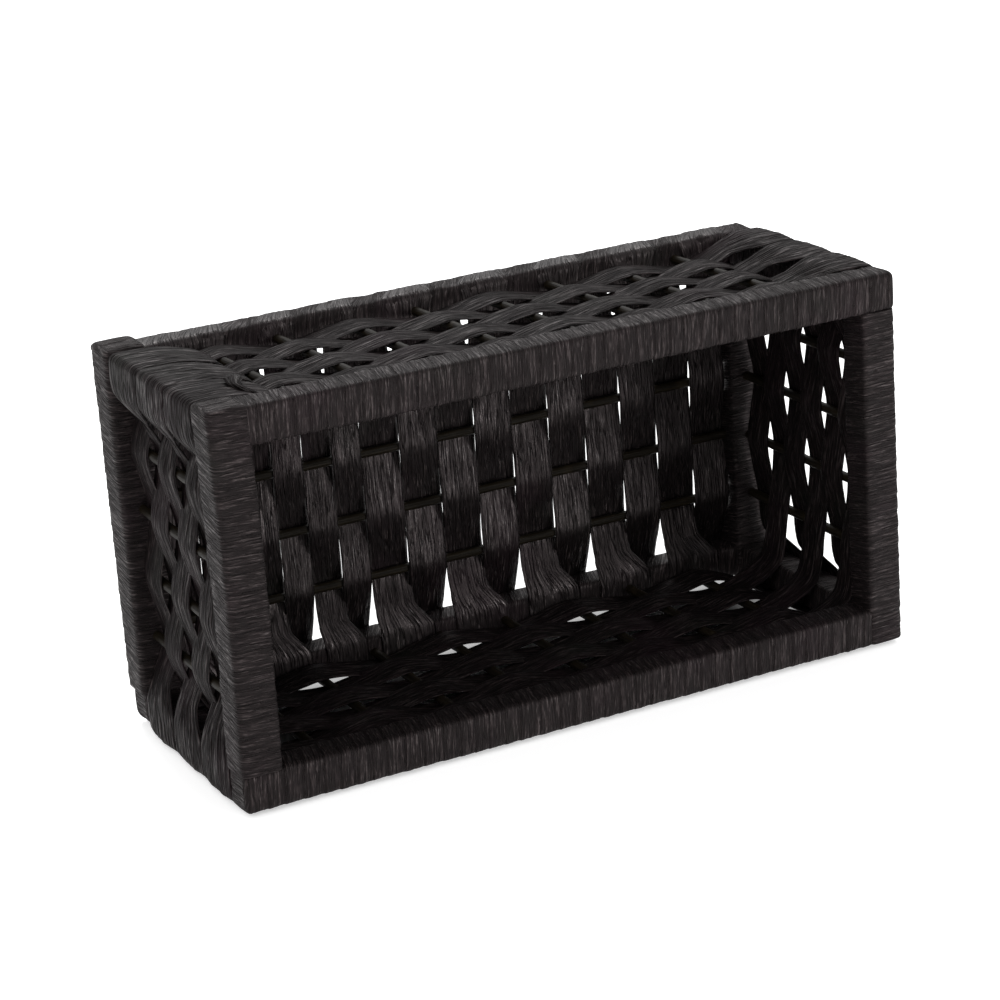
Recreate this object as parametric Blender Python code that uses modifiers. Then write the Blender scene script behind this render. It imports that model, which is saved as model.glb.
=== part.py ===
"""A small woven caddy that holds folded paper napkins.

Twelve wood battens make the box: four round the open side (the rim), four round the closed side (the base)
and four posts between them. Each batten is wrapped in paper ribbon. Round reed stakes run from rim to base in
the four walls and from side to side in the base. Six flat paper ribbons are woven round the walls, and one long
ribbon is woven up and down the base. The caddy lies on its long side: the rim faces -Y and the base faces +Y.
"""

from math import cos, pi

import bmesh
import bpy
from mathutils import Vector

# Overall size, in metres
WIDTH = 0.280
DEPTH = 0.112
HEIGHT = 0.149

# Bars, each measured over its ribbons
BAR = 0.0152
WRAP = 0.0012  # thickness of the ribbon wound round a batten
EDGE_ROUND = 0.0016  # rounding of a wrapped bar
BATTEN_CHAMFER = 0.0006

# Flat ribbons
RIBBON = 0.0008  # thickness
GAP = 0.0003  # clearance between neighbouring pieces
WALL_RIBBONS = 6
SWAY = 0.0014  # how far a wall ribbon leans to each side as it weaves
RIBBON_SPACE = 0.0004  # least space between two wall ribbons
RIM_SPACE = 0.0005  # between the first wall ribbon and the rim
BASE_SPACE = 0.0040  # between the last wall ribbon and the base
BASE_COLUMNS = 16
NARROW_COLUMNS = (3, 4, 5)
NARROW_SHARE = 0.75  # width of a narrow column against a full one
COLUMN_SLOT = 0.0006  # space between two columns
FOLD = 0.0015  # bend of a ribbon round a bar
SPREAD_LENGTH = 0.0080  # over which a wall ribbon spreads out before a post

# Stakes
STAKE_RADIUS = 0.00175
STAKE_SEAT = 0.0020  # depth of a stake's hole in a batten
HOLE_SIDES = 8
STAKE_FLAT = 0.0020  # half the length of ribbon that lies flat over a stake
LONG_WALL_STAKES = 8
LONG_WALL_MARGIN = 0.0388  # from the side of the caddy to the first stake
SHORT_WALL_STAKES = 4
SHORT_WALL_MARGIN = 0.0367  # from the underside to the first stake
TOP_STAKE_RISE = 0.0026  # how much higher the top wall's stakes lie at the rim

# Values that follow from those above
LAP = RIBBON + GAP  # what a flat ribbon adds to a bar that it passes over
CORE = BAR - 2 * LAP  # width of a wrapped post or base rail
MIDDLE_X = WIDTH / 2 - BAR / 2
MIDDLE_Z = HEIGHT / 2 - BAR / 2
CENTRE_Z = HEIGHT / 2
RIM_FRONT = -DEPTH / 2
RIM_BACK = RIM_FRONT + BAR
BASE_MIDDLE = DEPTH / 2 - BAR / 2
BASE_FRONT = BASE_MIDDLE - CORE / 2
BASE_BACK = BASE_MIDDLE + CORE / 2
BASE_INNER_X = MIDDLE_X - CORE / 2
WEAVE_FRONT = RIM_BACK + RIM_SPACE
WEAVE_BACK = BASE_FRONT - BASE_SPACE
RIBBON_PITCH = (WEAVE_BACK - WEAVE_FRONT) / WALL_RIBBONS
RIBBON_HALF_WIDTH = RIBBON_PITCH / 2 - SWAY - RIBBON_SPACE / 2
OVER_STAKE = STAKE_RADIUS + GAP + RIBBON / 2  # from a stake's centre line to the ribbon that passes it
OVER_BAR = CORE / 2 + GAP + RIBBON / 2  # the same for a post or a base rail
SEAT_REACH = WRAP + GAP + STAKE_SEAT  # from a bar's face to the end of a stake in it

# The walls in the order that a ribbon runs round them: the way it travels, the way out of the caddy, and
# whether the post at the wall's end takes a turn in the over and under of the weave
WALLS = {
    "top": {"along": (1, 0), "out": (0, 1), "post": "top_right", "post_counts": True},
    "right": {"along": (0, -1), "out": (1, 0), "post": "bottom_right", "post_counts": False},
    "bottom": {"along": (-1, 0), "out": (0, -1), "post": "bottom_left", "post_counts": False},
    "left": {"along": (0, 1), "out": (-1, 0), "post": "top_left", "post_counts": True},
}


def clear_scene():
    for obj in list(bpy.data.objects):
        bpy.data.objects.remove(obj, do_unlink=True)


def make_collection(name):
    collection = bpy.data.collections.new(name)
    bpy.context.scene.collection.children.link(collection)
    return collection


def make_material(name, colour, roughness, metallic):
    material = bpy.data.materials.new(name)
    material.use_nodes = True
    shader = material.node_tree.nodes["Principled BSDF"]
    shader.inputs["Base Color"].default_value = (*colour, 1.0)
    shader.inputs["Roughness"].default_value = roughness
    shader.inputs["Metallic"].default_value = metallic
    return material


def add_object(name, data, material, collection, parent):
    obj = bpy.data.objects.new(name, data)
    data.materials.append(material)
    collection.objects.link(obj)
    obj.parent = parent
    return obj


def box_mesh(name, size, open_ends):
    """A box centred on its origin, without the end faces whose normals are in open_ends."""
    shape = bmesh.new()
    bmesh.ops.create_cube(shape, size=1.0)
    bmesh.ops.scale(shape, vec=size, verts=shape.verts)
    shape.normal_update()
    ends = [face for face in shape.faces if any(face.normal.dot(Vector(end)) > 0.9 for end in open_ends)]
    bmesh.ops.delete(shape, geom=ends, context="FACES_ONLY")
    mesh = bpy.data.meshes.new(name)
    shape.to_mesh(mesh)
    shape.free()
    return mesh


def add_bevel(obj, width, segments):
    bevel = obj.modifiers.new("rounded_edges", "BEVEL")
    bevel.width = width
    bevel.segments = segments
    bevel.limit_method = "ANGLE"


def add_wall(obj, thickness, offset):
    wall = obj.modifiers.new("thickness", "SOLIDIFY")
    wall.thickness = thickness
    wall.offset = offset
    wall.use_even_offset = True


def add_stake_holes(obj, cutters):
    holes = obj.modifiers.new("stake_holes", "BOOLEAN")
    holes.operation = "DIFFERENCE"
    holes.operand_type = "COLLECTION"
    holes.collection = cutters
    holes.solver = "EXACT"


def ring_bars(name, outer_x, low, high, front, back, thick):
    """Four bars round a rectangle. Each runs through at one end and butts on its neighbour at the other."""
    butt = thick + GAP
    return {
        f"{name}_left": ((-outer_x, front, low + butt), (-outer_x + thick, back, high), (0, 0, -1)),
        f"{name}_bottom": ((-outer_x, front, low), (outer_x - butt, back, low + thick), (1, 0, 0)),
        f"{name}_right": ((outer_x - thick, front, low), (outer_x, back, high - butt), (0, 0, 1)),
        f"{name}_top": ((-outer_x + butt, front, high - thick), (outer_x, back, high), (-1, 0, 0)),
    }


def corner_posts():
    """The four posts between the rim and the base, each as low corner, high corner and its two open ends."""
    posts = {}
    for wall in WALLS.values():
        centre = corner_centre(wall)
        low = (centre[0] - CORE / 2, RIM_BACK + GAP, centre[1] - CORE / 2)
        high = (centre[0] + CORE / 2, BASE_FRONT - GAP, centre[1] + CORE / 2)
        posts[f"post_{wall['post']}"] = (low, high, None)
    return posts


def add_bar(name, low, high, butt_end, looks, parts, cutters, parent):
    """A batten and the ribbon wound round it, which is closed at the end that runs through."""
    size = Vector(high) - Vector(low)
    centre = (Vector(high) + Vector(low)) / 2
    long_axis = max(range(3), key=lambda axis: size[axis])
    if butt_end is None:
        ends = [tuple(sign * (axis == long_axis) for axis in range(3)) for sign in (-1, 1)]
    else:
        ends = [butt_end]
    wrap = add_object(f"{name}_wrap", box_mesh(f"{name}_wrap", size, ends), looks["wrap"], parts, parent)
    wrap.location = centre
    add_bevel(wrap, EDGE_ROUND, 2)
    add_wall(wrap, WRAP, -1.0)
    add_stake_holes(wrap, cutters)

    inset = 2 * (WRAP + GAP)
    core_size = Vector([length - inset for length in size])
    core_size[long_axis] = size[long_axis] - inset * (2 - len(ends)) / 2
    batten = add_object(f"{name}_batten", box_mesh(f"{name}_batten", core_size, []), looks["wood"], parts, parent)
    batten.location = centre
    if butt_end is not None:
        batten.location += Vector(butt_end) * (size[long_axis] - core_size[long_axis]) / 2
    add_bevel(batten, BATTEN_CHAMFER, 1)
    add_stake_holes(batten, cutters)


def wall_spans(wall):
    """From the caddy's middle: to the wall's stakes, and to the posts at the wall's two ends."""
    if wall["along"][0]:
        return MIDDLE_Z, MIDDLE_X
    return MIDDLE_X, MIDDLE_Z


def corner_centre(wall):
    """Centre line of the post at the end of a wall, as X and Z."""
    distance, half_length = wall_spans(wall)
    across = wall["along"][0] * half_length + wall["out"][0] * distance
    up = wall["along"][1] * half_length + wall["out"][1] * distance
    return across, CENTRE_Z + up


def wall_rise(name, y):
    """How far the stakes of a wall lie outside the middle of the bars: only the top wall's climb to the rim."""
    if name != "top":
        return 0.0
    return TOP_STAKE_RISE * (BASE_FRONT - y) / (BASE_FRONT - RIM_BACK)


def wall_point(name, along, out, y):
    """A point of a wall: along it from its middle, out from its stakes, and y from front to back."""
    wall = WALLS[name]
    distance, _ = wall_spans(wall)
    reach = distance + out + wall_rise(name, y)
    x = wall["along"][0] * along + wall["out"][0] * reach
    z = wall["along"][1] * along + wall["out"][1] * reach
    return Vector((x, y, CENTRE_Z + z))


def spread(count, half_span):
    """Evenly spaced places from -half_span to half_span."""
    return [half_span * (2 * index / (count - 1) - 1) for index in range(count)]


def stake_places(name):
    """Where a wall's stakes stand along it, in the order that a ribbon meets them."""
    if WALLS[name]["along"][0]:
        return spread(LONG_WALL_STAKES, WIDTH / 2 - LONG_WALL_MARGIN)
    return spread(SHORT_WALL_STAKES, HEIGHT / 2 - SHORT_WALL_MARGIN)


def stake_lines():
    """Both ends of every stake, by name. Wall stakes number from the left or from the underside."""
    front = RIM_BACK - SEAT_REACH
    back = BASE_FRONT + SEAT_REACH
    lines = {}
    for name, wall in WALLS.items():
        places = stake_places(name)
        if sum(wall["along"]) < 0:
            places = places[::-1]
        for number, along in enumerate(places, 1):
            lines[f"{name}_stake_{number}"] = (wall_point(name, along, 0, front), wall_point(name, along, 0, back))
    side = BASE_INNER_X + SEAT_REACH
    for number, height in enumerate(stake_places("left"), 1):
        z = CENTRE_Z + height
        lines[f"base_stake_{number}"] = (Vector((-side, BASE_MIDDLE, z)), Vector((side, BASE_MIDDLE, z)))
    return lines


def add_stake(name, start, end, material, parts, parent):
    middle = (start + end) / 2
    curve = bpy.data.curves.new(name, "CURVE")
    curve.dimensions = "3D"
    curve.bevel_depth = STAKE_RADIUS
    curve.bevel_resolution = 2
    curve.use_fill_caps = True
    spline = curve.splines.new("POLY")
    spline.points.add(1)
    spline.points[0].co = (*(start - middle), 1.0)
    spline.points[1].co = (*(end - middle), 1.0)
    stake = add_object(name, curve, material, parts, parent)
    stake.location = middle


def add_hole_cutter(name, start, end, cutters, parent):
    """The room that a stake needs where it enters the bars: its own shape with the clearance all round."""
    shape = bmesh.new()
    radius = (STAKE_RADIUS + GAP) / cos(pi / HOLE_SIDES)
    length = (end - start).length + 2 * GAP
    bmesh.ops.create_cone(
        shape, cap_ends=True, segments=HOLE_SIDES, radius1=radius, radius2=radius, depth=length
    )
    mesh = bpy.data.meshes.new(f"{name}_hole")
    shape.to_mesh(mesh)
    shape.free()
    cutter = bpy.data.objects.new(f"{name}_hole", mesh)
    cutters.objects.link(cutter)
    cutter.parent = parent
    cutter.location = (start + end) / 2
    cutter.rotation_euler = (end - start).to_track_quat("Z", "Y").to_euler()
    cutter.hide_render = True
    cutter.display_type = "WIRE"


def add_strip(name, sections, closed, material, parts, parent):
    """A flat ribbon through pairs of edge points, joined end to end when closed."""
    if closed:
        sections = sections + sections[:1]
    shape = bmesh.new()
    edges = [[shape.verts.new(point) for point in section] for section in sections]
    rows = [shape.edges.new(edge) for edge in edges]
    bmesh.ops.bridge_loops(shape, edges=rows[:2])
    for row in range(1, len(rows) - 1):
        bmesh.ops.bridge_loops(shape, edges=rows[row : row + 2])
    if closed:
        bmesh.ops.remove_doubles(shape, verts=shape.verts, dist=0.00001)
    bmesh.ops.recalc_face_normals(shape, faces=shape.faces)
    mesh = bpy.data.meshes.new(name)
    shape.to_mesh(mesh)
    shape.free()
    strip = add_object(name, mesh, material, parts, parent)
    add_wall(strip, RIBBON, 0.0)
    return strip


def ribbon_edges(name, along, out, y):
    """The two edge points of a wall ribbon whose middle is at y."""
    return [wall_point(name, along, out, y + side * RIBBON_HALF_WIDTH) for side in (-1, 1)]


def post_bends(over):
    """A ribbon's way past a post, from the post's centre: along the wall, out of it, and whether it lies spread."""
    if not over:
        return [(-OVER_BAR, -OVER_BAR, False)]
    near = OVER_BAR - FOLD
    start = CORE / 2 + SPREAD_LENGTH
    return [
        (-start, OVER_BAR / 2, False),
        (-CORE / 2, OVER_BAR, True),
        (near, OVER_BAR, True),
        (OVER_BAR, near, True),
        (OVER_BAR, -CORE / 2, True),
        (OVER_BAR / 2, -start, False),
    ]


def wall_ribbon(number):
    """Edge points of one ribbon round the four walls. Number 1 is next to the base.

    Only every other ribbon goes outside a post, so there it spreads over its neighbour's width as well.
    """
    middle = WEAVE_BACK - (number - 0.5) * RIBBON_PITCH
    pair = (number - 1) // 2
    spread_middle = WEAVE_BACK - (2 * pair + 1) * RIBBON_PITCH
    spread_half_width = RIBBON_PITCH - RIBBON_SPACE / 2
    sections = []
    turn = number
    for name, wall in WALLS.items():
        for along in stake_places(name):
            over = turn % 2 == 1
            turn += 1
            out = OVER_STAKE if over else -OVER_STAKE
            y = middle - SWAY if over else middle + SWAY
            sections += [ribbon_edges(name, along + flat, out, y) for flat in (-STAKE_FLAT, STAKE_FLAT)]
        over = (turn if wall["post_counts"] else number) % 2 == 1
        turn += wall["post_counts"]
        y = middle - SWAY if over else middle + SWAY
        across, up = corner_centre(wall)
        for along, out, spread_flat in post_bends(over):
            x = across + wall["along"][0] * along + wall["out"][0] * out
            z = up + wall["along"][1] * along + wall["out"][1] * out
            centre, half_width = (spread_middle, spread_half_width) if spread_flat else (y, RIBBON_HALF_WIDTH)
            sections.append([Vector((x, centre + side * half_width, z)) for side in (-1, 1)])
    return sections


def column_edges():
    """The left and right edge of each column of the base ribbon."""
    shares = [NARROW_SHARE if column in NARROW_COLUMNS else 1.0 for column in range(BASE_COLUMNS)]
    full = 2 * (BASE_INNER_X - GAP) / sum(shares)
    edges = []
    left = -BASE_INNER_X + GAP
    for share in shares:
        right = left + full * share
        edges.append((left + COLUMN_SLOT / 2, right - COLUMN_SLOT / 2))
        left = right
    return edges


def base_ribbon():
    """Edge points of the base ribbon: down column 0, round the bottom rail, up column 1 and so on."""
    front = BASE_MIDDLE - OVER_BAR
    back = BASE_MIDDLE + OVER_BAR
    columns = column_edges()
    heights = [CENTRE_Z + height for height in stake_places("left")]
    sections = []

    def add(column, y, z):
        sections.append([Vector((x, y, z)) for x in columns[column]])

    def add_turn(column, next_column, rail_z, way, enter, leave):
        """Round a rail, from the side enter to the side leave; way is 1 over the top rail, -1 under the bottom."""
        outer = rail_z + way * OVER_BAR
        inward = FOLD if leave > enter else -FOLD
        add(column, enter, rail_z - way * CORE / 2)
        add(column, enter, outer - way * FOLD)
        add(column, enter + inward, outer)
        add(next_column, leave - inward, outer)
        add(next_column, leave, outer - way * FOLD)
        add(next_column, leave, rail_z - way * CORE / 2)

    top = CENTRE_Z + MIDDLE_Z
    bottom = CENTRE_Z - MIDDLE_Z
    add_turn(0, 0, top, 1, front, back)
    for column in range(BASE_COLUMNS):
        down = column % 2 == 0
        order = heights[::-1] if down else heights
        for step, height in enumerate(order):
            y = BASE_MIDDLE + (-OVER_STAKE if step % 2 == 0 else OVER_STAKE)
            travel = -STAKE_FLAT if down else STAKE_FLAT
            add(column, y, height - travel)
            add(column, y, height + travel)
        following = min(column + 1, BASE_COLUMNS - 1)
        if down:
            add_turn(column, following, bottom, -1, front, back)
        else:
            add_turn(column, following, top, 1, front, back)
    return sections


def build():
    clear_scene()
    parts = make_collection("napkin_caddy")
    cutters = make_collection("stake_hole_cutters")
    cutters.hide_render = True
    frame = bpy.data.objects.new("caddy", None)
    parts.objects.link(frame)
    looks = {
        "wrap": make_material("wrapped_paper_ribbon", (0.034, 0.028, 0.029), 0.62, 0.0),
        "wood": make_material("batten_wood", (0.42, 0.29, 0.17), 0.75, 0.0),
        "wall": make_material("wall_paper_ribbon", (0.040, 0.033, 0.034), 0.60, 0.0),
        "base": make_material("base_paper_ribbon", (0.036, 0.031, 0.033), 0.55, 0.0),
        "stake": make_material("reed_stake", (0.060, 0.050, 0.038), 0.60, 0.0),
    }

    stakes = stake_lines()
    for name, (start, end) in stakes.items():
        add_stake(name, start, end, looks["stake"], parts, frame)
        add_hole_cutter(name, start, end, cutters, frame)

    bars = ring_bars("rim", WIDTH / 2, 0.0, HEIGHT, RIM_FRONT, RIM_BACK, BAR)
    bars |= ring_bars("base", WIDTH / 2 - LAP, LAP, HEIGHT - LAP, BASE_FRONT, BASE_BACK, CORE)
    bars |= corner_posts()
    for name, (low, high, butt_end) in bars.items():
        add_bar(name, low, high, butt_end, looks, parts, cutters, frame)

    for number in range(1, WALL_RIBBONS + 1):
        add_strip(f"wall_ribbon_{number}", wall_ribbon(number), True, looks["wall"], parts, frame)
    base = add_strip("base_ribbon", base_ribbon(), False, looks["base"], parts, frame)
    add_stake_holes(base, cutters)


build()
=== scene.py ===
from math import pi, radians

import bpy
from mathutils import Matrix, Vector


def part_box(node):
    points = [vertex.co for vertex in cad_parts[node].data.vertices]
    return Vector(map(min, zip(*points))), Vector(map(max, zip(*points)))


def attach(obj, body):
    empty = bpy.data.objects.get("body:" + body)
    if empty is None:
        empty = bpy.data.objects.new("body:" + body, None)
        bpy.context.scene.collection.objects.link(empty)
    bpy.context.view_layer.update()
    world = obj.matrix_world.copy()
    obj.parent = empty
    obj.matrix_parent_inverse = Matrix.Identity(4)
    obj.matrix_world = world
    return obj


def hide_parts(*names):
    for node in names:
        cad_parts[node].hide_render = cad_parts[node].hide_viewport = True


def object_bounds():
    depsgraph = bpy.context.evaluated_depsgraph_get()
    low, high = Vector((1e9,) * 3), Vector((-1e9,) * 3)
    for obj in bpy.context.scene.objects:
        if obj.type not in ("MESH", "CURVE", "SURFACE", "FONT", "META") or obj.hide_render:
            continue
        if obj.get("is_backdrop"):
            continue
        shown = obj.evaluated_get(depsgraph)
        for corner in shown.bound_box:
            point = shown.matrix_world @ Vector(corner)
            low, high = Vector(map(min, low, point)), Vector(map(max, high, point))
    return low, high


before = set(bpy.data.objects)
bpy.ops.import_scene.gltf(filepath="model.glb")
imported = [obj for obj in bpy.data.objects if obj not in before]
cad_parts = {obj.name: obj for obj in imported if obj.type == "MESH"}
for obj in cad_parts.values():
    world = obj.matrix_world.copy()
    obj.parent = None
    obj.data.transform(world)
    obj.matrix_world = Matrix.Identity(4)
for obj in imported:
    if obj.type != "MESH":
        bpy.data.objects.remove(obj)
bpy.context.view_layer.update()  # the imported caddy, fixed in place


class Num:  # a socket's value, which takes part in Python sums
    def __init__(self, graph, socket):
        self.graph = graph
        self.socket = socket

    def out(self, name):  # another output of the same node
        return Num(self.graph, self.socket.node.outputs[name])

    def __add__(self, other):
        return self.graph.calc("ADD", self, other)

    def __radd__(self, other):
        return self.graph.calc("ADD", other, self)

    def __sub__(self, other):
        return self.graph.calc("SUBTRACT", self, other)

    def __rsub__(self, other):
        return self.graph.calc("SUBTRACT", other, self)

    def __mul__(self, other):
        return self.graph.calc("MULTIPLY", self, other)

    def __rmul__(self, other):
        return self.graph.calc("MULTIPLY", other, self)

    def __truediv__(self, other):
        return self.graph.calc("DIVIDE", self, other)

    def __rtruediv__(self, other):
        return self.graph.calc("DIVIDE", other, self)

    def __pow__(self, other):
        return self.graph.calc("POWER", self, other)

    def __gt__(self, other):
        return self.graph.calc("GREATER_THAN", self, other)


class Graph:  # a node tree, whether of a material or of Geometry Nodes
    def __init__(self, tree):
        self.tree = tree

    def plug(self, value, socket):
        if isinstance(value, Num):
            self.tree.links.new(value.socket, socket)
        else:
            socket.default_value = value

    def add(self, kind, settings=None, inputs=None, output=0):
        node = self.tree.nodes.new(kind)
        for key, value in (settings or {}).items():
            setattr(node, key, value)
        for key, value in (inputs or {}).items():
            self.plug(value, node.inputs[key])
        return Num(self, node.outputs[output])

    def calc(self, operation, *values):
        return self.add("ShaderNodeMath", {"operation": operation}, dict(enumerate(values)))

    def vector(self, operation, *values):
        return self.add("ShaderNodeVectorMath", {"operation": operation}, dict(enumerate(values)))

    def scaled(self, direction, amount):
        return self.add("ShaderNodeVectorMath", {"operation": "SCALE"}, {0: direction, "Scale": amount})

    def point(self, x, y, z):
        return self.add("ShaderNodeCombineXYZ", inputs={0: x, 1: y, 2: z})

    def smooth(self, value, low, high, start=0.0, end=1.0):
        settings = {"interpolation_type": "SMOOTHSTEP"}
        inputs = {"Value": value, "From Min": low, "From Max": high, "To Min": start, "To Max": end}
        return self.add("ShaderNodeMapRange", settings, inputs)

    def noise(self, place, scale=1.0, detail=2.0, rough=0.5):
        inputs = {"Vector": place, "Scale": scale, "Detail": detail, "Roughness": rough}
        return self.add("ShaderNodeTexNoise", {"noise_dimensions": "3D"}, inputs)

    def tint(self, share, colour, other):  # from colour to other
        return self.add("ShaderNodeMix", {"data_type": "RGBA"}, {0: share, 6: colour, 7: other}, 2)


def newShapeTree(name, inputs):
    tree = bpy.data.node_groups.new(name, "GeometryNodeTree")
    tree.is_modifier = True
    tree.interface.new_socket("Geometry", in_out="OUTPUT", socket_type="NodeSocketGeometry")
    for label, kind in inputs.items():
        tree.interface.new_socket(label, in_out="INPUT", socket_type=f"NodeSocket{kind}")
    graph = Graph(tree)
    entry = graph.add("NodeGroupInput")
    return graph, {label: entry.out(label) for label in inputs}


def closeShapeTree(graph, shape, material):
    smooth = graph.add("GeometryNodeSetShadeSmooth", inputs={"Geometry": shape})
    real = graph.add("GeometryNodeRealizeInstances", inputs={"Geometry": smooth})
    painted = graph.add("GeometryNodeSetMaterial", inputs={"Geometry": real, "Material": material})
    end = graph.tree.nodes.new("NodeGroupOutput")
    graph.plug(painted, end.inputs["Geometry"])
    return graph.tree


def growPiece(name, tree, values, place=None):
    host = bpy.data.objects.new(name, bpy.data.meshes.new(name))
    bpy.context.scene.collection.objects.link(host)
    modifier = host.modifiers.new(tree.name, "NODES")
    modifier.node_group = tree
    for item in tree.interface.items_tree:
        if item.in_out == "INPUT":
            modifier[item.identifier] = values[item.name]
    bpy.context.view_layer.update()
    evaluated = host.evaluated_get(bpy.context.evaluated_depsgraph_get())
    mesh = bpy.data.meshes.new_from_object(evaluated)
    host.modifiers.remove(modifier)
    host.data = mesh
    mesh.materials.clear()  # one slot, for every face
    mesh.materials.append(values["Material"])
    if place is not None:
        mesh.transform(place)
    return host


def fit(piece, slot, *nodes):
    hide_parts(*nodes)
    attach(piece, "root")


viewSettings = {
    "lookAt": (-0.0025, 0.0039, 0.0724),
    "distance": 1.12,
    "turn": 26.32,  # degrees round the caddy from its open side
    "tilt": 18.75,
    "roll": 4.02,
    "lens": 105.7,
    "sensor": 36.0,
}


def addCamera(values):
    data = bpy.data.cameras.new("camera")
    data.lens = values["lens"]
    data.sensor_width = values["sensor"]
    camera = bpy.data.objects.new("camera", data)
    bpy.context.scene.collection.objects.link(camera)
    turned = (
        Matrix.Rotation(radians(-values["turn"]), 4, "Z")
        @ Matrix.Rotation(radians(90 - values["tilt"]), 4, "X")
        @ Matrix.Rotation(radians(-values["roll"]), 4, "Z")
    )
    back = turned.to_3x3() @ Vector((0, 0, values["distance"]))
    camera.matrix_world = Matrix.Translation(Vector(values["lookAt"]) + back) @ turned
    bpy.context.scene.camera = camera


lightSettings = {
    "sky": 0.66,
    "lamps": {  # place, size, watts
        "key": ((-1.4, -1.6, 1.6), 1.0, 20.0),
        "top": ((0.4, 1.2, 1.7), 1.2, 30.0),
        "front": ((0.95, -1.9, 0.34), 0.7, 20.0),
    },
}


def addLight(values):
    world = bpy.data.worlds.new("studio")
    world.use_nodes = True
    bpy.context.scene.world = world
    sky = world.node_tree.nodes["Background"]
    sky.inputs["Color"].default_value = (1.0, 1.0, 1.0, 1.0)
    sky.inputs["Strength"].default_value = values["sky"]
    target = Vector(viewSettings["lookAt"])
    for name, (place, size, power) in values["lamps"].items():
        data = bpy.data.lights.new(name, "AREA")
        data.size = size
        data.energy = power
        lamp = bpy.data.objects.new(name, data)
        bpy.context.scene.collection.objects.link(lamp)
        lamp.location = place
        lamp.rotation_euler = (target - Vector(place)).to_track_quat("-Z", "Y").to_euler()
    bpy.context.scene.view_settings.view_transform = "Standard"


floorSettings = {
    "size": 12.0,
    "colour": (0.93, 0.93, 0.93),
    "roughness": 0.9,
    "shine": 0.1,
    # painted light: how strongly the floor glows outside the patch under the caddy
    "paintedGlow": 0.44,
    "plain": (0.140, 0.046),  # half the sides of the patch under the caddy, which gets no painted light and keeps its shade
    "plainEdge": 0.72,  # share of the patch where the painted light starts to rise
}


def addFloor(values, height):
    bpy.ops.mesh.primitive_plane_add(size=values["size"], location=(0.0, 0.0, height))
    floor = bpy.context.object
    floor.name = "floor"
    material = bpy.data.materials.new("floor_white")
    material.use_nodes = True
    shader = material.node_tree.nodes["Principled BSDF"]
    shader.inputs["Base Color"].default_value = (*values["colour"], 1.0)
    shader.inputs["Roughness"].default_value = values["roughness"]
    shader.inputs["Specular IOR Level"].default_value = values["shine"]
    graph = Graph(material.node_tree)
    spot = graph.add("ShaderNodeTexCoord").out("Object")
    split = graph.add("ShaderNodeSeparateXYZ", inputs={0: graph.vector("ABSOLUTE", spot)})
    halfX, halfY = values["plain"]
    beside = graph.calc("MAXIMUM", split.out("X") / halfX, split.out("Y") / halfY)
    # painted light: the floor glows white outside a patch under the caddy, washing out the caddy's cast
    # shadow, while under it the floor keeps its shade
    paintedGlow = graph.smooth(beside, values["plainEdge"], 1.0)
    graph.plug(graph.tint(paintedGlow, (0.0, 0.0, 0.0, 1.0), (1.0, 1.0, 1.0, 1.0)), shader.inputs["Emission Color"])
    shader.inputs["Emission Strength"].default_value = values["paintedGlow"]
    floor.data.materials.append(material)
    floor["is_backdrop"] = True


addCamera(viewSettings)
addLight(lightSettings)
print("camera and light are up")


def newMaterial(name):
    material = bpy.data.materials.new(name)
    material.use_nodes = True
    graph = Graph(material.node_tree)
    return material, graph, material.node_tree.nodes["Principled BSDF"]


paperSettings = {
    "dark": (0.0016, 0.0011, 0.0012, 1.0),
    "light": (0.0090, 0.0058, 0.0061, 1.0),
    # painted highlight: the pale colour of the glints laid on raised fibres
    "glint": (0.150, 0.122, 0.118, 1.0),
    "warm": (0.0105, 0.0055, 0.0075, 1.0),
    "green": (0.0060, 0.0074, 0.0056, 1.0),
    "fibre": 0.00072,  # width of a fibre
    "fibreRun": 0.0085,  # length of a fibre
    "fold": 0.0022,
    "foldRun": 0.028,
    "bodyRange": (0.38, 0.64),  # of the fibre noise, from the dark to the light colour
    "patch": 0.035,
    "warmRange": (0.5, 0.75),
    "warmShare": 0.55,
    "greenRange": (0.55, 0.8),
    "greenShare": 0.5,
    # where the painted glints lie and how strongly; the same mask also lowers roughness and adds coat
    "glintFrom": 0.50,
    "glintTo": 0.72,
    "glintShare": 0.36,
    # painted shade: thin dark crease lines in the colour, which also deepen the bump
    "groove": 0.0017,
    "grooveRun": 0.024,
    "grooveWide": 0.08,
    "grooveRelief": 1.6,  # against a fold
    "edge": 0.0,  # width of the painted shade line at a ribbon's edge, where one turn lies on the last
    "shine": 0.22,
    "shineTint": (1.0, 0.86, 0.86, 1.0),
    "coat": 0.9,  # on a glint
    "coatRough": 0.38,
    "rough": 0.72,
    "roughDrop": 0.27,  # where a fibre stands up
    "glintDrop": 0.14,
    "relief": 0.00085,
    "foldRelief": 0.0004,
}


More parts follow.
